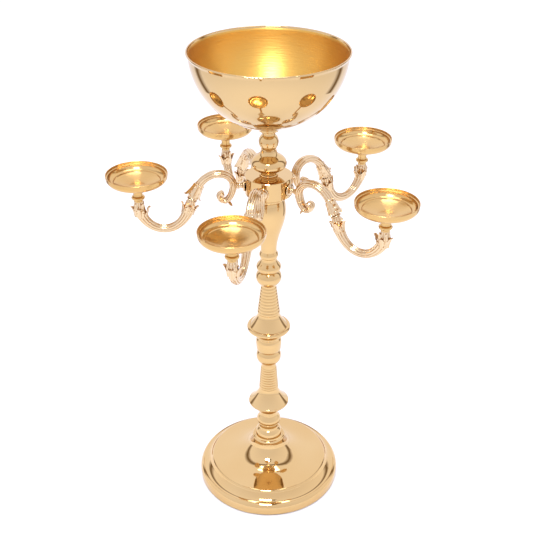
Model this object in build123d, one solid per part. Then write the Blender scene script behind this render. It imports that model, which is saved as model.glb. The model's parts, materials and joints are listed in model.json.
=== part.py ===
from build123d import *
import math
import os

# A tall brass centrepiece: a turned stem on a stepped round base, a flower bowl on top
# and five scrolled arms, each with a shallow candle dish that screws into its tip.
# Millimetres, +Z up, origin on the stem's axis at the level of the table.
# Arm 1 points along -Y and the others follow anticlockwise, seen from above.

# Driving dimensions
ARM_COUNT = 5
ARM_STEP = 360 / ARM_COUNT
BASE_RADIUS = 127.0
SHOULDER_HEIGHT = 38.0
BASE_TOP = 78.0
LAND_THICKNESS = 3.0
STEM_TOP = 680.0
HUB_RADIUS = 38.0
HUB_BOTTOM = 578.0
HUB_TOP = 609.0
ARM_ROOT_HEIGHT = 592.0
DISH_REACH = 206.4
DISH_RIM_HEIGHT = 616.4
DISH_RIM_RADIUS = 48.8
DISH_FLOOR = 595.8
DISH_SEAT_RADIUS = 13.0
DISH_WALL = 1.6
BOWL_SPHERE_RADIUS = 120.3
BOWL_SPHERE_HEIGHT = 812.0
BOWL_RIM_HEIGHT = 810.0
BOWL_RIM_RADIUS = 122.4
BOWL_WALL = 1.6

# Fasteners and fits
ROD_RADIUS = 4.0
ROD_BORE = 4.25
ARM_STUD_RADIUS = 3.0
ARM_STUD_BORE = 3.2
DISH_STUD_RADIUS = 3.0
BOWL_STUD_RADIUS = 5.0
RUNNING_CLEARANCE = 0.05
SEAT_GAP = 0.2
PAD_THICKNESS = 1.5
WASHER_THICKNESS = 2.0
NUT_HEIGHT = 6.5
NUT_ACROSS_FLATS = 13.0


def closed_face(start, steps):
    """A flat face from a start point. A step is a point for a line, a pair of points
    for an arc through the first to the second, or a list of points for a smooth curve."""
    edges = []
    here = start
    for step in steps:
        if isinstance(step, list):
            there = step[-1]
            edges.append(Spline(here, *step))
        elif isinstance(step[0], tuple):
            there = step[1]
            edges.append(ThreePointArc(here, step[0], there))
        else:
            there = step
            edges.append(Line(here, there))
        here = there
    if here != start:
        edges.append(Line(here, start))
    return make_face(Wire(edges))


def turned(start, *steps):
    """A solid turned about the Z axis from an outline of radius and height."""
    return revolve(Plane.XZ * closed_face(start, steps), Axis.Z)


def stem_piece(bottom, top, *steps, bore=ROD_BORE):
    """A turned piece threaded on the stem's rod: its bore, its foot and its outline."""
    return turned((bore, bottom), *steps, (bore, top))


def beads(radius_low, z_low, radius_high, z_high, count, proud):
    """Steps for a cone covered in rounded rings, as arcs between equally spaced grooves."""
    steps = []
    for ring in range(count):
        centre = (ring + 0.5) / count
        end = (ring + 1) / count
        crest = (
            radius_low + (radius_high - radius_low) * centre + proud,
            z_low + (z_high - z_low) * centre,
        )
        groove = (
            radius_low + (radius_high - radius_low) * end,
            z_low + (z_high - z_low) * end,
        )
        steps.append((crest, groove))
    return steps


def around(solid, index):
    """A copy of an arm's piece, drawn along +X, turned to arm number index."""
    return Rotation(0, 0, index * ARM_STEP - 90) * solid


def base_pad():
    """Felt disc that closes the hollow base."""
    return Cylinder(BASE_RADIUS - 2.5, PAD_THICKNESS, align=(Align.CENTER, Align.CENTER, Align.MIN))


def base_plate():
    """Spun base: a rolled edge, a cove, a sloping shoulder and a trumpet that rises to the
    collar. It is hollow below, and its top land carries the collar and takes the washer."""
    foot = PAD_THICKNESS
    return turned(
        (106.0, foot),
        (BASE_RADIUS - 1.5, foot),
        ((BASE_RADIUS - 0.4, foot + 0.4), (BASE_RADIUS, foot + 1.5)),
        (BASE_RADIUS, 11.5),
        ((125.6, 18.3), (121.4, 22.2)),
        (120.4, 21.6),
        ((112.0, 25.6), (105.4, 34.2)),
        ((103.6, 36.9), (100.4, SHOULDER_HEIGHT)),
        [
            (80.0, 40.2),
            (61.0, 44.4),
            (49.3, 49.4),
            (40.0, 55.0),
            (33.5, 61.5),
            (29.6, 69.0),
            (27.8, BASE_TOP),
        ],
        (ROD_BORE, BASE_TOP),
        (ROD_BORE, BASE_TOP - LAND_THICKNESS),
        (22.0, BASE_TOP - LAND_THICKNESS),
        [(28.6, 62.0), (36.8, 53.0), (47.5, 46.2), (60.0, 41.4), (79.4, 37.2), (96.0, 34.6)],
        ((99.6, 31.8), (101.8, 28.0)),
        ((106.4, 21.6), (114.0, 16.5)),
        (117.0, 6.5),
        (106.0, 6.5),
    )


def base_collar():
    """Broad ring between the base and the neck."""
    return stem_piece(
        BASE_TOP,
        88.0,
        (27.0, BASE_TOP),
        ((29.6, 81.6), (27.6, 85.2)),
        (26.0, 85.6),
        (25.2, 88.0),
    )


def base_neck():
    """Dome, neck, bead and torus that lift the lower flare off the base."""
    return stem_piece(
        88.0,
        142.0,
        (22.6, 88.0),
        (23.4, 90.2),
        [(22.2, 95.8), (18.8, 100.8)],
        (17.8, 101.6),
        ((17.2, 107.0), (17.9, 111.6)),
        (19.0, 112.2),
        ((19.7, 113.4), (19.0, 114.6)),
        (18.0, 115.2),
        [(20.6, 117.4), (21.4, 121.2), (19.6, 126.8), (16.4, 133.0)],
        (16.4, 142.0),
    )


def lower_flare():
    """Ringed cone on a trumpet disc nearest the base, with a conical underside."""
    return stem_piece(
        142.0,
        238.0,
        (18.2, 142.0),
        [(26.8, 151.6), (34.4, 160.0)],
        ((35.8, 162.0), (34.6, 164.0)),
        [(29.8, 168.4), (20.2, 181.4), (16.7, 193.0)],
        *beads(16.7, 193.0, 13.4, 238.0, 9, 0.7),
    )


def lower_knob():
    """Round knob on the lower cone."""
    return stem_piece(
        238.0,
        273.2,
        (13.4, 238.0),
        ((13.2, 243.0), (13.9, 247.4)),
        (15.2, 248.6),
        [(20.4, 254.8), (21.8, 262.4), (20.6, 269.2), (18.0, 273.2)],
    )


def double_ring():
    """Barrel with a bead on it, under the upper flare."""
    return stem_piece(
        273.2,
        308.0,
        (18.2, 273.2),
        [(21.0, 276.8), (22.0, 284.0), (22.4, 290.6), (21.4, 297.0)],
        (19.6, 299.4),
        (19.6, 300.6),
        ((21.2, 303.4), (19.4, 306.4)),
        (17.6, 307.2),
        (17.6, 308.0),
    )


def upper_flare():
    """Ringed cone on a trumpet disc halfway up the stem. A bead runs round the disc's edge
    and its underside is hollowed."""
    return stem_piece(
        308.0,
        404.0,
        (17.6, 308.0),
        ((21.1, 315.4), (32.4, 318.8)),
        (35.8, 319.2),
        ((37.4, 322.6), (33.2, 326.9)),
        (32.2, 326.6),
        [(30.6, 328.8), (22.5, 340.2), (19.1, 352.0)],
        *beads(19.1, 352.0, 12.7, 404.0, 9, 0.7),
    )


def upper_knob():
    """Round knob on the upper cone."""
    return stem_piece(
        404.0,
        434.6,
        (12.7, 404.0),
        ((12.6, 406.0), (13.4, 408.4)),
        (15.0, 409.6),
        [(20.2, 415.8), (21.8, 423.2), (20.0, 430.0), (16.0, 434.6)],
    )


def bell_ring():
    """Bell-shaped ring under the vase."""
    return stem_piece(
        434.6,
        458.0,
        (16.0, 434.6),
        ((19.4, 437.4), (20.8, 442.4)),
        [(20.0, 446.0), (16.6, 450.6), (14.4, 455.0)],
        (14.1, 458.0),
    )


def vase():
    """Long vase that swells below the hub."""
    return stem_piece(
        458.0,
        HUB_BOTTOM,
        (14.1, 458.0),
        (14.6, 460.6),
        [(15.9, 465.6), (14.4, 470.6)],
        (13.4, 472.4),
        [(13.5, 478.0), (17.3, 500.0), (23.5, 520.0), (27.9, 540.0), (27.7, 556.0), (25.6, 566.6)],
        (25.0, 567.6),
        (25.9, 568.8),
        ((26.6, 571.0), (25.9, 573.2)),
        (24.8, 574.4),
        (24.8, HUB_BOTTOM),
    )


def hub():
    """Drum that the five arms screw into, bored for the rod and for the arms' studs."""
    edge = 0.8
    drum = stem_piece(
        HUB_BOTTOM,
        HUB_TOP,
        (HUB_RADIUS - edge, HUB_BOTTOM),
        (HUB_RADIUS, HUB_BOTTOM + edge),
        (HUB_RADIUS, HUB_TOP - edge),
        (HUB_RADIUS - edge, HUB_TOP),
    )
    stud_hole = Plane.YZ.offset(24.0) * Pos(0, ARM_ROOT_HEIGHT) * Cylinder(
        ARM_STUD_BORE, 20.0, align=(Align.CENTER, Align.CENTER, Align.MIN)
    )
    for index in range(ARM_COUNT):
        drum -= around(stud_hole, index)
    return drum


def hub_spool():
    """Grooved spool between the hub and the top knob."""
    return stem_piece(
        HUB_TOP,
        619.0,
        (14.2, HUB_TOP),
        ((14.9, 610.6), (14.0, 612.2)),
        (13.2, 612.8),
        (13.2, 614.4),
        ((14.4, 616.4), (13.8, 619.0)),
    )


def top_knob():
    """Flattened knob above the hub, drawn up to a neck."""
    return stem_piece(
        619.0,
        652.0,
        (16.4, 619.0),
        (18.0, 619.8),
        [(25.6, 623.0), (28.4, 629.0), (26.6, 635.4), (21.6, 640.4), (15.6, 644.6), (12.9, 649.0)],
        (12.4, 652.0),
    )


def top_ball():
    """Ball at the head of the stem, bored from above for the bowl's stud."""
    stud_floor = 664.0
    ball_radius = 15.8
    centre = 665.2
    reach = 12.0
    cut_radius = math.sqrt(ball_radius**2 - reach**2)
    return turned(
        (ROD_BORE, 652.0),
        (11.2, 652.0),
        (cut_radius, centre - reach),
        ((ball_radius, centre), (cut_radius, centre + reach)),
        (10.0, STEM_TOP),
        (BOWL_STUD_RADIUS + RUNNING_CLEARANCE, STEM_TOP),
        (BOWL_STUD_RADIUS + RUNNING_CLEARANCE, stud_floor),
        (ROD_BORE, stud_floor),
    )


def tie_rod():
    """Threaded rod that clamps the whole stem between the base nut and the ball."""
    low = 63.0
    return Pos(0, 0, low) * Cylinder(ROD_RADIUS, 660.0 - low, align=(Align.CENTER, Align.CENTER, Align.MIN))


def base_washer():
    """Washer under the base's land."""
    low = BASE_TOP - LAND_THICKNESS - WASHER_THICKNESS
    return turned((ROD_BORE, low), (14.0, low), (14.0, low + WASHER_THICKNESS), (ROD_BORE, low + WASHER_THICKNESS))


def base_nut():
    """Hexagon nut on the rod's lower end."""
    low = BASE_TOP - LAND_THICKNESS - WASHER_THICKNESS - NUT_HEIGHT
    blank = extrude(RegularPolygon(NUT_ACROSS_FLATS / 2, 6, major_radius=False), NUT_HEIGHT)
    bore = Cylinder(ROD_RADIUS, NUT_HEIGHT, align=(Align.CENTER, Align.CENTER, Align.MIN))
    return Pos(0, 0, low) * (blank - bore)


def bowl():
    """Flower bowl: part of a thin sphere with a rolled rim and a small flat seat."""
    def sphere_point(radius, height):
        return (math.sqrt(radius**2 - (height - BOWL_SPHERE_HEIGHT) ** 2), height)

    outer = BOWL_SPHERE_RADIUS
    inner = BOWL_SPHERE_RADIUS - BOWL_WALL
    seat = 16.6
    seat_z = BOWL_SPHERE_HEIGHT - math.sqrt(outer**2 - seat**2)
    floor_z = seat_z + BOWL_WALL
    lip_z = BOWL_RIM_HEIGHT - 6.0
    return turned(
        (0, seat_z),
        (seat, seat_z),
        (sphere_point(outer, 735.0), sphere_point(outer, lip_z)),
        (BOWL_RIM_RADIUS, BOWL_RIM_HEIGHT - 2.0),
        ((BOWL_RIM_RADIUS - 1.1, BOWL_RIM_HEIGHT), (BOWL_RIM_RADIUS - 2.4, BOWL_RIM_HEIGHT - 1.4)),
        sphere_point(inner, lip_z),
        (sphere_point(inner, 735.0), sphere_point(inner, floor_z)),
        (0, floor_z),
    )


def bowl_foot():
    """Foot ring brazed under the bowl, with the stud that turns in the ball."""
    seat_z = BOWL_SPHERE_HEIGHT - math.sqrt(BOWL_SPHERE_RADIUS**2 - 16.6**2)
    low = STEM_TOP + SEAT_GAP
    return turned(
        (0, 666.0),
        (BOWL_STUD_RADIUS, 666.0),
        (BOWL_STUD_RADIUS, low),
        (10.2, low),
        ((11.0, 682.4), (15.0, 683.6)),
        ((16.9, 685.4), (16.6, 688.0)),
        (16.6, seat_z),
        (0, seat_z),
    )


def arm_flange():
    """Round flange between the hub and an arm, flat against the hub's curve."""
    flange = turned(
        (ARM_STUD_BORE, 0.0),
        (9.6, 0.0),
        ((10.6, 1.2), (9.4, 2.4)),
        ((6.4, 3.0), (5.4, 3.6)),
        (ARM_STUD_BORE, 3.6),
    )
    return Pos(HUB_RADIUS + 0.2, 0, ARM_ROOT_HEIGHT) * Rotation(0, 90, 0) * flange


def arm_stud():
    """Threaded stud that holds an arm in the hub."""
    stud = Cylinder(ARM_STUD_RADIUS, 20.0, align=(Align.CENTER, Align.CENTER, Align.MIN))
    return Pos(26.0, 0, ARM_ROOT_HEIGHT) * Rotation(0, 90, 0) * stud


# The arm's centre line: a scroll, a straight leg and a deep loop that ends upright
SCROLL_CENTRE = (81.0, 587.0)
SCROLL_RADIUS = 25.0
LOOP_RADIUS = 39.4
LOOP_CENTRE = (DISH_REACH - LOOP_RADIUS, 558.0)
ARM_TOP = 569.0
SCROLL_THICKNESS = 6.0
LOOP_THICKNESS = 7.4


def leg_tangent():
    """The angle of the straight leg that touches the scroll from above and the loop from below."""
    across = LOOP_CENTRE[0] - SCROLL_CENTRE[0]
    down = LOOP_CENTRE[1] - SCROLL_CENTRE[1]
    distance = math.hypot(across, down)
    return math.atan2(down, across) - math.asin((SCROLL_RADIUS + LOOP_RADIUS) / distance)


def on_circle(centre, radius, angle):
    """The point of a circle at an angle in radians."""
    return (centre[0] + radius * math.cos(angle), centre[1] + radius * math.sin(angle))


def tube(path, radius, start, direction):
    """A round tube along a path of the arm's plane."""
    plane = Plane(origin=(start[0], 0, start[1]), z_dir=(direction[0], 0, direction[1]))
    return sweep(plane * Circle(radius), Plane.XZ * path)


def bell(point, angle, small, large, length, lip):
    """A leaf bell on the arm: a cone that widens along a direction to a rounded lip."""
    flared = turned(
        (0, 0),
        (small, 0),
        ((small + (large - small) * 0.22, length * 0.55), (large, length)),
        (large - 1.2, length + lip),
        (0, length + lip * 0.4),
    )
    tilt = 90 - math.degrees(angle)
    return Pos(point[0], 0, point[1]) * Rotation(0, tilt, 0) * flared


def arm():
    """One cast arm: stub, scroll with its volute, leg, loop and three leaf bells."""
    leg = leg_tangent()
    scroll_end = on_circle(SCROLL_CENTRE, SCROLL_RADIUS, leg + math.pi / 2)
    loop_start = on_circle(LOOP_CENTRE, LOOP_RADIUS, leg - math.pi / 2)
    run = (loop_start[0] - scroll_end[0], loop_start[1] - scroll_end[1])
    waist = (scroll_end[0] + run[0] * 0.52, scroll_end[1] + run[1] * 0.52)
    back = math.radians(192)
    scroll_start = on_circle(SCROLL_CENTRE, SCROLL_RADIUS, back)
    top = on_circle(SCROLL_CENTRE, SCROLL_RADIUS, (back + leg + math.pi / 2) / 2)
    loop_low = on_circle(LOOP_CENTRE, LOOP_RADIUS, math.radians(272))
    loop_end = (DISH_REACH, LOOP_CENTRE[1])
    curl_centre = (69.6, 577.4)
    curl_end = (80.4, 573.0)

    scroll_path = Wire([ThreePointArc(scroll_start, top, scroll_end), Line(scroll_end, waist)])
    scroll = tube(scroll_path, SCROLL_THICKNESS, scroll_start, (math.sin(back), -math.cos(back)))
    loop_path = Wire([Line(waist, loop_start), ThreePointArc(loop_start, loop_low, loop_end)])
    loop = tube(loop_path, LOOP_THICKNESS, waist, run)

    round_end = Sphere(SCROLL_THICKNESS)
    volute = Pos(73.6, 0, 574.4) * Rotation(90, 0, 0) * Cylinder(8.0, 12.0)
    bridge_edges = closed_face(
        scroll_start,
        [(57.0, 572.0), (64.0, 566.4), (72.0, 566.6), curl_end, curl_centre, (62.0, 583.0)],
    )
    bridge = extrude(Plane.XZ * bridge_edges, 5.0, both=True)
    tail_face = closed_face((66.0, 568.0), [((60.0, 564.0), (59.0, 556.0)), ((64.0, 560.0), (72.0, 566.0))])
    tail = extrude(Plane.XZ * tail_face, 2.2, both=True)

    stub = turned((ARM_STUD_BORE, 0.0), (5.2, 0.0), (4.0, 2.4), (4.0, 5.5), (ARM_STUD_BORE, 5.5))
    stub = Pos(HUB_RADIUS + 3.8, 0, ARM_ROOT_HEIGHT) * Rotation(0, 90, 0) * stub
    root = Pos(47.2, 0, ARM_ROOT_HEIGHT) * Rotation(0, 90, 0) * Cylinder(
        4.2, 8.0, align=(Align.CENTER, Align.CENTER, Align.MIN)
    )

    up_leg = leg + math.pi
    scroll_bell = bell((waist[0] - run[0] * 0.34, waist[1] - run[1] * 0.34), leg, 5.5, 14.2, 16.0, 1.6)
    collar = Pos(waist[0], 0, waist[1]) * Rotation(0, 90 - math.degrees(leg), 0) * Cylinder(8.6, 10.0)
    loop_bell = bell((waist[0] + run[0] * 0.50, waist[1] + run[1] * 0.50), up_leg, 7.0, 14.6, 19.0, 1.6)
    tip_bell = bell((DISH_REACH, 540.0), math.pi / 2, 7.2, 15.6, 19.0, 1.6)
    tip = Pos(DISH_REACH, 0, LOOP_CENTRE[1]) * Cylinder(
        7.2, ARM_TOP - LOOP_CENTRE[1], align=(Align.CENTER, Align.CENTER, Align.MIN)
    )
    bore_depth = 14.0
    stud_bore = Pos(DISH_REACH, 0, ARM_TOP - bore_depth) * Cylinder(
        DISH_STUD_RADIUS + RUNNING_CLEARANCE, bore_depth, align=(Align.CENTER, Align.CENTER, Align.MIN)
    )

    body = scroll + loop + Pos(scroll_start[0], 0, scroll_start[1]) * round_end + bridge + volute + tail
    body = body + scroll_bell + collar + loop_bell + tip_bell + tip + root
    return body + stub - stud_bore


def dish():
    """Shallow candle dish: a stepped rim, a cove and a dished floor with a small flat seat."""
    rim = DISH_RIM_RADIUS
    top = DISH_RIM_HEIGHT
    return Pos(DISH_REACH, 0, 0) * turned(
        (0, DISH_FLOOR - DISH_WALL),
        (DISH_SEAT_RADIUS, DISH_FLOOR - DISH_WALL),
        [(24.0, 595.8), (34.0, 599.2), (41.5, 602.6)],
        ((46.2, 605.9), (rim - 0.2, 610.6)),
        (rim, top - 0.7),
        ((rim - 0.7, top), (rim - 1.4, top - 0.7)),
        (rim - 1.9, 612.8),
        (45.4, 612.2),
        (45.0, 610.0),
        ((42.6, 605.9), (37.4, 603.6)),
        (36.6, 602.4),
        [(32.4, 600.4), (23.4, 597.4), (DISH_SEAT_RADIUS, DISH_FLOOR)],
        (0, DISH_FLOOR),
    )


def dish_neck():
    """Ringed neck brazed under a dish, with the stud that turns in the arm's tip."""
    low = ARM_TOP + SEAT_GAP
    under_dish = DISH_FLOOR - DISH_WALL
    stud_end = ARM_TOP - 12.0
    return Pos(DISH_REACH, 0, 0) * turned(
        (0, stud_end),
        (DISH_STUD_RADIUS, stud_end),
        (DISH_STUD_RADIUS, low),
        (7.0, low),
        (7.0, 571.4),
        (8.2, 572.6),
        ((10.8, 575.4), (8.6, 578.4)),
        (7.7, 579.0),
        ((8.0, 586.6), (12.4, under_dish)),
        (0, under_dish),
    )


def arm_studs():
    """The five equal studs, as one group of separate solids."""
    return Compound(children=[around(arm_stud(), index) for index in range(ARM_COUNT)])


SINGLE_PARTS = {
    "base_pad": base_pad,
    "base_plate": base_plate,
    "base_collar": base_collar,
    "base_neck": base_neck,
    "lower_flare": lower_flare,
    "lower_knob": lower_knob,
    "double_ring": double_ring,
    "upper_flare": upper_flare,
    "upper_knob": upper_knob,
    "bell_ring": bell_ring,
    "vase": vase,
    "hub": hub,
    "hub_spool": hub_spool,
    "top_knob": top_knob,
    "top_ball": top_ball,
    "tie_rod": tie_rod,
    "base_washer": base_washer,
    "base_nut": base_nut,
    "bowl": bowl,
    "bowl_foot": bowl_foot,
    "arm_studs": arm_studs,
}

ARM_PARTS = {"arm": arm, "arm_flange": arm_flange, "dish": dish, "dish_neck": dish_neck}


def main():
    os.makedirs("parts", exist_ok=True)
    for name, make in SINGLE_PARTS.items():
        export_step(make(), f"parts/{name}.step")
    for name, make in ARM_PARTS.items():
        drawn = make()
        for index in range(ARM_COUNT):
            export_step(around(drawn, index), f"parts/{name}_{index + 1}.step")


main()
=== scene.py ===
import json
import math

import bpy
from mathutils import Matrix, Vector


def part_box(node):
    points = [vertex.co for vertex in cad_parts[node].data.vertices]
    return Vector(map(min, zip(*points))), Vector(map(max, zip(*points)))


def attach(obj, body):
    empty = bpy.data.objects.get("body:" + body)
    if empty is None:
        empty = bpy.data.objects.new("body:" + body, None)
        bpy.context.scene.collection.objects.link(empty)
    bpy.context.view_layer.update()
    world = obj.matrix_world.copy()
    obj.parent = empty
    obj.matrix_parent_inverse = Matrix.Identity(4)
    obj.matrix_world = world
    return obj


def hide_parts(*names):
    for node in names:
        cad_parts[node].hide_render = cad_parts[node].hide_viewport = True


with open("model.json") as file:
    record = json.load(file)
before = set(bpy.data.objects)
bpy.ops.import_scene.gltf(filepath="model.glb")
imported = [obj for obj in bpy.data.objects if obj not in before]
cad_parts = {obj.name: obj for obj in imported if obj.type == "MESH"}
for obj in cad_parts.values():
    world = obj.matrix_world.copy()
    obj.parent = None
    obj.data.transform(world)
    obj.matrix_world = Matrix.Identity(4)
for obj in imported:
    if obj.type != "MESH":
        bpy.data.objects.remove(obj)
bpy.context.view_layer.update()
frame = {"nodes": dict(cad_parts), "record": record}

MM = 0.001
ARM_COUNT = 5
ARM_STEP = math.radians(360 / ARM_COUNT)
CAMERA_AZIMUTH = math.radians(14.5)
BOWL_CENTRE_ABOVE_RIM = 2.0 * MM
BOWL_MID_WALL = 119.5 * MM
CAST_GRAIN = 0.5 * MM
SLOT_OF_NODE = {part["node"]: part["material_slot"] for part in frame["record"]["subparts"]}


# Materials

def new_material(name, metallic, colour, roughness):
    """A material with its Principled shader and the node's own coordinates in metres."""
    material = bpy.data.materials.new(name)
    material.use_nodes = True
    shader = material.node_tree.nodes["Principled BSDF"]
    shader.inputs["Base Color"].default_value = (*colour, 1)
    shader.inputs["Metallic"].default_value = metallic
    shader.inputs["Roughness"].default_value = roughness
    coordinates = material.node_tree.nodes.new("ShaderNodeTexCoord")
    return material, shader, coordinates.outputs["Object"]


def noise(material, where, scale, detail=3.0, stretch=(1, 1, 1)):
    """A noise texture over the node's coordinates, stretched along the axes."""
    nodes, links = material.node_tree.nodes, material.node_tree.links
    mapping = nodes.new("ShaderNodeMapping")
    mapping.inputs["Scale"].default_value = stretch
    links.new(where, mapping.inputs["Vector"])
    texture = nodes.new("ShaderNodeTexNoise")
    texture.inputs["Scale"].default_value = scale
    texture.inputs["Detail"].default_value = detail
    links.new(mapping.outputs["Vector"], texture.inputs["Vector"])
    return texture.outputs["Fac"]


def spread(material, value, low, high, from_low=0.3, from_high=0.7):
    """The value stretched to run from low to high."""
    node = material.node_tree.nodes.new("ShaderNodeMapRange")
    node.inputs["From Min"].default_value = from_low
    node.inputs["From Max"].default_value = from_high
    node.inputs["To Min"].default_value = low
    node.inputs["To Max"].default_value = high
    material.node_tree.links.new(value, node.inputs["Value"])
    return node.outputs["Result"]


def blend_colours(material, factor, first, second):
    """A colour between two, as the factor says."""
    mix = material.node_tree.nodes.new("ShaderNodeMix")
    mix.data_type = "RGBA"
    for socket, colour in (("A_Color", first), ("B_Color", second)):
        target = next(s for s in mix.inputs if s.identifier == socket)
        if isinstance(colour, tuple):
            target.default_value = (*colour, 1)
        else:
            material.node_tree.links.new(colour, target)
    material.node_tree.links.new(factor, mix.inputs["Factor"])
    return next(s for s in mix.outputs if s.identifier == "Result_Color")


def add_bump(material, shader, height, distance):
    """Relief that rises by distance where the height goes from 0 to 1."""
    bump = material.node_tree.nodes.new("ShaderNodeBump")
    bump.inputs["Distance"].default_value = distance
    bump.inputs["Strength"].default_value = 1.0
    material.node_tree.links.new(height, bump.inputs["Height"])
    material.node_tree.links.new(bump.outputs["Normal"], shader.inputs["Normal"])


def brush_round_axis(material, shader, share):
    """Draw highlights out across marks that run round the vertical axis."""
    tangent = material.node_tree.nodes.new("ShaderNodeTangent")
    tangent.direction_type = "RADIAL"
    tangent.axis = "Z"
    material.node_tree.links.new(tangent.outputs["Tangent"], shader.inputs["Tangent"])
    shader.inputs["Anisotropic"].default_value = share
    shader.inputs["Anisotropic Rotation"].default_value = 0.25


def polished_gold(name, colour, deep_colour, smooth, hazy, grain, brushed=0.0):
    """Polished, lacquered brass: faint haze in patches and fine marks of turning."""
    material, shader, where = new_material(name, 1.0, colour, smooth)
    links = material.node_tree.links
    patches = noise(material, where, 34.0, 4.0)
    links.new(spread(material, patches, smooth, hazy), shader.inputs["Roughness"])
    tone = spread(material, noise(material, where, 9.0, 2.0), 0.0, 1.0)
    links.new(blend_colours(material, tone, colour, deep_colour), shader.inputs["Base Color"])
    turning = noise(material, where, 60.0, 2.0, (1, 1, 60))
    add_bump(material, shader, turning, grain)
    if brushed:
        brush_round_axis(material, shader, brushed)
    return material


def cast_gold(name):
    """Polished cast brass, pinker than the turned pieces, with painted shade darkening its creases.
    """
    light, crease_shade_colour = (0.73, 0.545, 0.325), (0.44, 0.20, 0.05)
    material, shader, where = new_material(name, 1.0, light, 0.12)
    links = material.node_tree.links
    geometry = material.node_tree.nodes.new("ShaderNodeNewGeometry")
    # Painted shade: hollows found by pointiness are coloured a deep amber, as if shaded
    painted_crease_shade = spread(material, geometry.outputs["Pointiness"], 0.0, 1.0, 0.499, 0.460)
    links.new(blend_colours(material, painted_crease_shade, light, crease_shade_colour), shader.inputs["Base Color"])
    patches = noise(material, where, 120.0, 4.0)
    links.new(spread(material, patches, 0.07, 0.18), shader.inputs["Roughness"])
    add_bump(material, shader, noise(material, where, 700.0, 3.0), 0.02 * MM)
    return material


def bowl_gold(name):
    """Mirror polish outside the bowl's wall, and a brushed satin inside it."""
    outside, inside = (0.62, 0.43, 0.205), (0.68, 0.405, 0.095)
    material, shader, where = new_material(name, 1.0, outside, 0.05)
    nodes, links = material.node_tree.nodes, material.node_tree.links
    rim_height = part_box("bowl")[1].z
    sphere_centre = Vector((0, 0, rim_height + BOWL_CENTRE_ABOVE_RIM))
    distance = nodes.new("ShaderNodeVectorMath")
    distance.operation = "DISTANCE"
    distance.inputs[1].default_value = sphere_centre
    links.new(where, distance.inputs[0])
    within, beyond = BOWL_MID_WALL - 0.2 * MM, BOWL_MID_WALL + 0.2 * MM
    is_inside = spread(material, distance.outputs["Value"], 1.0, 0.0, within, beyond)
    brushing = noise(material, where, 40.0, 4.0, (1, 1, 14))
    colour = blend_colours(material, is_inside, outside, inside)
    links.new(colour, shader.inputs["Base Color"])
    satin = spread(material, brushing, 0.34, 0.44)
    polish = spread(material, noise(material, where, 30.0), 0.03, 0.06)
    roughness = nodes.new("ShaderNodeMix")
    links.new(is_inside, roughness.inputs["Factor"])
    links.new(polish, roughness.inputs["A"])
    links.new(satin, roughness.inputs["B"])
    links.new(roughness.outputs["Result"], shader.inputs["Roughness"])
    height = nodes.new("ShaderNodeMath")
    height.operation = "MULTIPLY"
    links.new(is_inside, height.inputs[0])
    links.new(brushing, height.inputs[1])
    add_bump(material, shader, height.outputs["Value"], 0.3 * MM)
    brush_round_axis(material, shader, 0.6)
    return material


def zinc_steel(name):
    """Zinc-plated steel with its small crystals, for the rod, the nut, the washer and the studs."""
    material, shader, where = new_material(name, 1.0, (0.62, 0.62, 0.64), 0.35)
    links = material.node_tree.links
    crystals = noise(material, where, 400.0, 2.0)
    links.new(spread(material, crystals, 0.28, 0.45), shader.inputs["Roughness"])
    colour = blend_colours(material, crystals, (0.50, 0.50, 0.53), (0.72, 0.72, 0.72))
    links.new(colour, shader.inputs["Base Color"])
    return material


def black_felt(name):
    """Dark felt with loose fibres, for the pad under the base."""
    material, shader, where = new_material(name, 0.0, (0.03, 0.028, 0.025), 0.95)
    links = material.node_tree.links
    fibres = noise(material, where, 900.0, 4.0)
    colour = blend_colours(material, fibres, (0.015, 0.014, 0.013), (0.06, 0.055, 0.05))
    links.new(colour, shader.inputs["Base Color"])
    add_bump(material, shader, fibres, 0.4 * MM)
    return material


def make_materials():
    """One material for each of the record's material slots."""
    return {
        "stem_brass": polished_gold(
            "turned_gold",
            colour=(0.68, 0.465, 0.215),
            deep_colour=(0.65, 0.425, 0.18),
            smooth=0.03,
            hazy=0.06,
            grain=0.0025 * MM,
        ),
        "cast_brass": cast_gold("cast_gold"),
        "dish_brass": polished_gold(
            "dish_gold",
            colour=(0.68, 0.445, 0.180),
            deep_colour=(0.63, 0.385, 0.135),
            smooth=0.16,
            hazy=0.24,
            grain=0.006 * MM,
            brushed=0.85,
        ),
        "bowl_brass": bowl_gold("bowl_gold"),
        "fastener_steel": zinc_steel("zinc_steel"),
        "felt": black_felt("black_felt"),
    }


def paint(obj, material):
    obj.data.materials.clear()
    obj.data.materials.append(material)


# The cast arms, drawn in the plane of reach and height, in millimetres

def between(t, p, q, r, s):
    """The smooth value at share t of the way from q to r, with p before them and s after."""
    bend = (2 * p - 5 * q + 4 * r - s) * t**2
    twist = (3 * q - p - 3 * r + s) * t**3
    return 0.5 * (2 * q + (r - p) * t + bend + twist)


def smooth_through(rows, steps):
    """Rows of numbers on a Catmull-Rom curve through the given rows."""
    padded = [rows[0], *rows, rows[-1]]
    found = []
    for a, b, c, d in zip(padded, padded[1:], padded[2:], padded[3:]):
        for step in range(steps):
            t = step / steps
            found.append([between(t, *values) for values in zip(a, b, c, d)])
    found.append(list(rows[-1]))
    return found


def skin(loops):
    """Vertices and faces of a closed skin over equal loops of points."""
    count = len(loops[0])
    vertices = [point for loop in loops for point in loop]
    faces = []
    for row in range(len(loops) - 1):
        here, above = row * count, (row + 1) * count
        for k in range(count):
            after = (k + 1) % count
            faces.append((here + k, here + after, above + after, above + k))
    last = (len(loops) - 1) * count
    faces.append(tuple(reversed(range(count))))
    faces.append(tuple(last + k for k in range(count)))
    return vertices, faces


ACROSS = Vector((0, 1, 0))


def in_plane(reach, height):
    """A point or direction in the arm's own plane."""
    return Vector((reach, 0, height))


def reeded(angle, reeds, depth):
    """Share of the radius at an angle round a bar with rounded lengthwise reeds."""
    return 1 - depth + depth * math.sqrt(abs(math.cos(angle * reeds / 2)))


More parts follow.
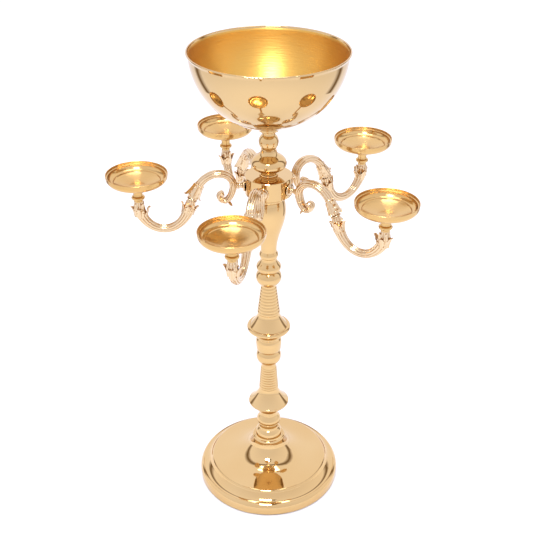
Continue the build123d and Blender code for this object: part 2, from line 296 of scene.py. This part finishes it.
def bar(stations, reeds, depth, corners=80):
    """A reeded bar along stations of reach, height, half thickness and half width."""
    line = smooth_through(stations, 7)
    loops = []
    for index, (reach, height, thick, wide) in enumerate(line):
        before = line[max(index - 1, 0)]
        after = line[min(index + 1, len(line) - 1)]
        along = in_plane(after[0] - before[0], after[1] - before[1]).normalized()
        side = along.cross(ACROSS)
        centre = in_plane(reach, height)
        loop = []
        for k in range(corners):
            angle = 2 * math.pi * k / corners
            share = reeded(angle, reeds, depth)
            across = ACROSS * wide * share * math.sin(angle)
            loop.append(centre + side * thick * share * math.cos(angle) + across)
        loops.append(loop)
    return skin(loops)


def leaf(root, along, outward, length, width, spring, curl, thickness=1.9):
    """A pointed leaf that leaves its root along one direction, springs outward by an angle and
    curls at its tip. Its edge is lobed and a rib runs down its middle."""
    across = along.cross(outward).normalized()
    spine = []
    position = Vector(root)
    heading = 0.0
    steps = 28
    curl_start = 0.62
    for step in range(steps + 1):
        t = step / steps
        spine.append((t, position.copy(), heading))
        bend = spring if t < curl_start else curl * (t - curl_start) / (1 - curl_start)
        heading += bend / steps
        position += (along * math.cos(heading) + outward * math.sin(heading)) * (length / steps)
    loops = []
    taper_start = 0.45
    for t, point, heading in spine:
        lift = outward * math.cos(heading) - along * math.sin(heading)
        lobes = 1 + 0.14 * math.cos(t * math.pi * 7)
        taper = max(1 - (max(t - taper_start, 0) / (1 - taper_start)) ** 2.2, 0.06)
        half = width / 2 * (0.62 + 0.75 * t) * taper * lobes
        loop = []
        for k in range(24):
            angle = 2 * math.pi * k / 24
            x = math.cos(angle)
            rib = 0.7 * math.exp(-((x * half) ** 2) / 0.8) * taper
            body = thickness * (0.5 * math.sin(angle) + rib - 0.12 * abs(x) * half)
            loop.append(point + across * x * half + lift * body)
        loops.append(loop)
    return skin(loops)


def leaf_crown(centre, along, radius, wide_radius, first, length, width, spring, curl, count=4):
    """Leaves set round a bar at centre, pointing along it, from a first angle on."""
    side = along.cross(ACROSS)
    crown = []
    for k in range(count):
        angle = first + 2 * math.pi * k / count
        outward = (side * math.cos(angle) + ACROSS * math.sin(angle)).normalized()
        root = centre + side * math.cos(angle) * radius + ACROSS * math.sin(angle) * wide_radius
        crown.append(leaf(root, along, outward, length, width, spring, curl))
    return crown


def turned_ring(centre, along, profile, corners=48):
    """A ring or collar turned about a direction, from radius and offset pairs."""
    side = along.cross(ACROSS)
    loops = []
    for radius, offset in profile:
        middle = centre + along * offset
        loops.append([
            middle + (side * math.cos(a) + ACROSS * math.sin(a)) * radius
            for a in (2 * math.pi * k / corners for k in range(corners))
        ])
    return skin(loops)


def arm_pieces():
    """Every form that the cast arm is made of. A row of the scroll or the loop holds the reach,
    the height, half the thickness and half the width of the bar there."""
    scroll = [
        (71.4, 575.2, 2.0, 6.4),
        (74.6, 579.6, 3.0, 7.6),
        (79.6, 575.6, 3.8, 8.2),
        (76.4, 568.4, 4.4, 8.4),
        (68.6, 566.2, 4.8, 8.4),
        (62.4, 571.6, 5.2, 8.4),
        (58.2, 580.0, 5.7, 8.4),
        (56.2, 589.5, 6.0, 8.4),
        (57.4, 599.0, 6.2, 8.4),
        (63.0, 607.2, 6.2, 8.4),
        (71.0, 611.6, 6.1, 8.4),
        (80.0, 612.6, 6.1, 8.3),
        (89.0, 611.0, 6.3, 8.1),
        (97.6, 606.6, 6.5, 7.9),
        (105.4, 599.8, 6.8, 7.7),
        (111.6, 591.0, 7.1, 7.6),
        (116.2, 582.0, 7.2, 7.6),
        (121.4, 571.0, 6.8, 7.2),
        (124.4, 563.0, 7.2, 7.4),
    ]
    loop = [
        (122.6, 568.0, 6.8, 7.2),
        (125.0, 560.0, 8.4, 8.2),
        (127.6, 551.5, 9.4, 8.4),
        (131.4, 543.0, 8.9, 7.8),
        (137.0, 534.4, 8.1, 7.0),
        (144.4, 526.8, 7.6, 6.4),
        (154.0, 521.0, 7.4, 6.2),
        (164.6, 518.6, 7.3, 6.2),
        (175.4, 519.6, 7.2, 6.3),
        (185.4, 523.8, 7.5, 6.6),
        (194.4, 531.4, 8.1, 7.0),
        (201.2, 541.0, 8.9, 7.6),
        (205.0, 550.0, 9.6, 8.4),
        (206.4, 558.0, 9.2, 8.8),
        (206.4, 564.0, 7.6, 7.6),
        (206.4, 569.0, 7.0, 7.0),
    ]
    leg_down = in_plane(0.50, -0.866).normalized()
    leg_up = in_plane(-0.30, 0.954).normalized()
    out, up = in_plane(1.0, 0.0), in_plane(0.0, 1.0)
    quarter = math.pi / 4
    back_down, back_up = in_plane(-0.80, -0.60), in_plane(-0.6, 0.8)
    along_top, off_top = in_plane(0.35, 0.94), in_plane(-0.94, 0.35)
    tail = leaf(in_plane(67.5, 566.5), back_down, back_up, 14.5, 9.0, -0.5, -0.6, thickness=2.2)
    top_leaf = leaf(in_plane(56.0, 594.0), along_top, off_top, 10.0, 9.0, -0.6, -0.5)
    pieces = [bar(scroll, 10, 0.25), bar(loop, 10, 0.24), tail, top_leaf]
    # Each joint of the arm has an outer crown, and an inner one turned to fill its gaps
    pieces += leaf_crown(in_plane(109.4, 594.6), leg_down, 6.8, 7.0, 0.0, 27.0, 12.0, 0.46, 5.4)
    pieces += leaf_crown(in_plane(111.0, 591.5), leg_down, 6.6, 6.9, quarter, 20.0, 9.5, 0.36, 4.6)
    pieces += leaf_crown(in_plane(130.4, 544.0), leg_up, 8.4, 7.4, 0.0, 21.0, 12.0, 0.52, 5.6)
    pieces += leaf_crown(in_plane(129.6, 546.5), leg_up, 8.0, 7.0, quarter, 18.0, 8.6, 0.05, 2.6)
    pieces += leaf_crown(in_plane(203.8, 541.0), up, 8.9, 7.8, 0.0, 21.0, 12.5, 0.60, 5.6)
    pieces += leaf_crown(in_plane(205.4, 546.0), up, 8.4, 7.6, quarter, 21.0, 9.0, -0.05, 2.2)
    stub = [
        (5.2, 0.0),
        (5.6, 0.8),
        (5.2, 1.8),
        (3.9, 2.6),
        (3.6, 5.4),
        (4.6, 6.4),
        (4.8, 8.6),
        (4.4, 12.0),
        (3.0, 17.0),
    ]
    pieces.append(turned_ring(in_plane(41.9, 592.0), out, stub))
    waist = [(6.8, -1.6), (8.4, -1.0), (8.9, 0.0), (8.4, 1.0), (6.8, 1.6)]
    pieces.append(turned_ring(in_plane(121.8, 570.0), leg_down, waist))
    return pieces


def joined_mesh(name, pieces):
    """One mesh in metres from pieces in millimetres."""
    vertices, faces = [], []
    for piece_vertices, piece_faces in pieces:
        first = len(vertices)
        vertices += [point * MM for point in piece_vertices]
        faces += [tuple(first + k for k in face) for face in piece_faces]
    mesh = bpy.data.meshes.new(name)
    mesh.from_pydata(vertices, [], faces)
    mesh.update()
    return mesh


def cast_together(mesh, name):
    """One even skin over overlapping forms, softened where they meet, as a casting is."""
    rough = bpy.data.objects.new(name, mesh)
    bpy.context.scene.collection.objects.link(rough)
    remesh = rough.modifiers.new("one_skin", "REMESH")
    remesh.mode = "VOXEL"
    remesh.voxel_size = CAST_GRAIN
    soften = rough.modifiers.new("soften", "SMOOTH")
    soften.iterations = 2
    soften.factor = 0.5
    bpy.context.view_layer.update()
    evaluated = rough.evaluated_get(bpy.context.evaluated_depsgraph_get())
    cast = bpy.data.meshes.new_from_object(evaluated)
    cast.name = name
    bpy.data.objects.remove(rough)
    cast.polygons.foreach_set("use_smooth", [True] * len(cast.polygons))
    return cast


def make_arms(material):
    """Five turned copies of the cast arm, each in place of its CAD arm."""
    cast = cast_together(joined_mesh("arm_forms", arm_pieces()), "cast_arm")
    cast.materials.append(material)
    for index in range(ARM_COUNT):
        arm = bpy.data.objects.new(f"cast_arm_{index + 1}", cast)
        bpy.context.scene.collection.objects.link(arm)
        arm.rotation_euler.z = index * ARM_STEP - math.pi / 2
        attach(arm, "stand")
        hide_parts(f"arm_{index + 1}")


# Studio

def fading_material(name, colour, strength):
    """A glow of one colour, as strong as the mesh's fade attribute says and clear where it is 0."""
    material = bpy.data.materials.new(name)
    material.use_nodes = True
    nodes, links = material.node_tree.nodes, material.node_tree.links
    nodes.clear()
    fade = nodes.new("ShaderNodeAttribute")
    fade.attribute_name = "fade"
    glow = nodes.new("ShaderNodeEmission")
    glow.inputs["Color"].default_value = (*colour, 1)
    glow.inputs["Strength"].default_value = strength
    clear = nodes.new("ShaderNodeBsdfTransparent")
    mix = nodes.new("ShaderNodeMixShader")
    links.new(fade.outputs["Fac"], mix.inputs["Fac"])
    links.new(clear.outputs["BSDF"], mix.inputs[1])
    links.new(glow.outputs["Emission"], mix.inputs[2])
    output = nodes.new("ShaderNodeOutputMaterial")
    links.new(mix.outputs["Shader"], output.inputs["Surface"])
    return material


def studio_point(azimuth, distance, height):
    """A point round the object, by its angle in degrees from the camera's side."""
    turn = CAMERA_AZIMUTH + math.radians(azimuth)
    return Vector((distance * math.sin(turn), -distance * math.cos(turn), height))


def reflector(name, rows, shares, colour, strength):
    """A curved board that shows only in the metal's reflections.

    Each row runs from one edge of the board to the other. Its shares say how solid it is."""
    across = len(shares)
    mesh = bpy.data.meshes.new(name)
    faces = []
    for row in range(len(rows) - 1):
        for k in range(across - 1):
            corner = row * across + k
            faces.append((corner, corner + 1, corner + across + 1, corner + across))
    mesh.from_pydata([point for row in rows for point in row], [], faces)
    fade = mesh.attributes.new("fade", "FLOAT", "POINT")
    fade.data.foreach_set("value", list(shares) * len(rows))
    mesh.materials.append(fading_material(name, colour, strength))
    board = bpy.data.objects.new(name, mesh)
    bpy.context.scene.collection.objects.link(board)
    board.visible_camera = False
    board.visible_diffuse = False
    board.visible_shadow = False


def dark_arch():
    """A dark arch from the floor on one side of the object over the top to the other side.

    It stands a little behind the object at the floor and a little before it at the top."""
    rows = []
    steps = 40
    for step in range(steps + 1):
        turn = math.pi * step / steps
        aside = 0.86 * abs(math.cos(turn)) ** 0.8 * math.copysign(1, math.cos(turn))
        height = 2.12 * math.sin(turn) ** 0.75
        before = -0.46 + 0.72 * math.sin(turn) ** 2
        half = 0.21 - 0.13 * math.sin(turn) ** 2
        row = []
        for share in (-1.0, -0.15, 0.15, 1.0):
            depth = before + half * share
            azimuth = math.degrees(math.atan2(aside, depth))
            row.append(studio_point(azimuth, math.hypot(aside, depth), height))
        rows.append(row)
    reflector("dark_arch", rows, (0.0, 1.0, 1.0, 0.0), (1.0, 0.74, 0.50), 0.28)


def softbox(name, place, width, height, radiance):
    """A rectangular lamp aimed at the middle of the object. Its radiance is in the same units
    as the strength of the world's background."""
    light = bpy.data.lights.new(name, "AREA")
    light.shape = "RECTANGLE"
    light.size = width
    light.size_y = height
    light.energy = radiance * math.pi * width * height
    lamp = bpy.data.objects.new(name, light)
    bpy.context.scene.collection.objects.link(lamp)
    lamp.location = place
    lamp.rotation_euler = (Vector((0, 0, 0.5)) - place).to_track_quat("-Z", "Y").to_euler()


def white_world():
    """A white surround, a little brighter behind the object than on the camera's side."""
    world = bpy.data.worlds.new("white_studio")
    bpy.context.scene.world = world
    world.use_nodes = True
    nodes, links = world.node_tree.nodes, world.node_tree.links
    direction = nodes.new("ShaderNodeTexCoord")
    toward_camera = nodes.new("ShaderNodeVectorMath")
    toward_camera.operation = "DOT_PRODUCT"
    toward_camera.inputs[1].default_value = studio_point(0, 1.0, 0.0)
    links.new(direction.outputs["Generated"], toward_camera.inputs[0])
    strength = spread(world, toward_camera.outputs["Value"], 1.26, 1.09, -0.3, 0.8)
    links.new(strength, nodes["Background"].inputs["Strength"])
    nodes["Background"].inputs["Color"].default_value = (1.0, 1.02, 1.2, 1)


def white_floor():
    """A sheet of white paper far wider than the object."""
    mesh = bpy.data.meshes.new("floor")
    reach = 12.0
    corners = [(-reach, -reach, 0), (reach, -reach, 0), (reach, reach, 0), (-reach, reach, 0)]
    mesh.from_pydata(corners, [], [(0, 1, 2, 3)])
    floor = bpy.data.objects.new("floor", mesh)
    bpy.context.scene.collection.objects.link(floor)
    paper = bpy.data.materials.new("white_paper")
    paper.use_nodes = True
    shader = paper.node_tree.nodes["Principled BSDF"]
    shader.inputs["Base Color"].default_value = (0.87, 0.87, 0.87, 1)
    shader.inputs["Roughness"].default_value = 0.9
    mesh.materials.append(paper)


def grey_card():
    """A card above the camera's right, as a soft shade in the polished pieces."""
    rows = [
        [studio_point(azimuth, distance, height) for azimuth in (6, 8, 18, 20)]
        for distance, height in ((1.0, 1.95), (0.6, 2.1))
    ]
    reflector("grey_card", rows, (0.0, 1.0, 1.0, 0.0), (0.8, 0.9, 1.0), 0.15)


def make_studio():
    white_world()
    white_floor()
    dark_arch()
    grey_card()
    softbox("overhead_box", studio_point(180, 0.16, 2.3), 1.0, 0.45, 5.0)
    softbox("key_box", studio_point(-8, 0.85, 2.1), 0.46, 0.5, 28.0)


def make_camera():
    """A camera that looks down at the object from a little to its right."""
    data = bpy.data.cameras.new("camera")
    camera = bpy.data.objects.new("camera", data)
    bpy.context.scene.collection.objects.link(camera)
    camera.location = studio_point(0, 1.3665, 1.247)
    camera.rotation_euler = (math.radians(90 - 30.74), 0, CAMERA_AZIMUTH)
    data.sensor_width = 36
    data.lens = 63.65
    data.shift_x = 0.0024
    bpy.context.scene.camera = camera


def main():
    bpy.context.scene.view_settings.view_transform = "Standard"
    materials = make_materials()
    for node, obj in frame["nodes"].items():
        paint(obj, materials[SLOT_OF_NODE[node]])
    make_arms(materials["cast_brass"])
    make_studio()
    make_camera()


main()
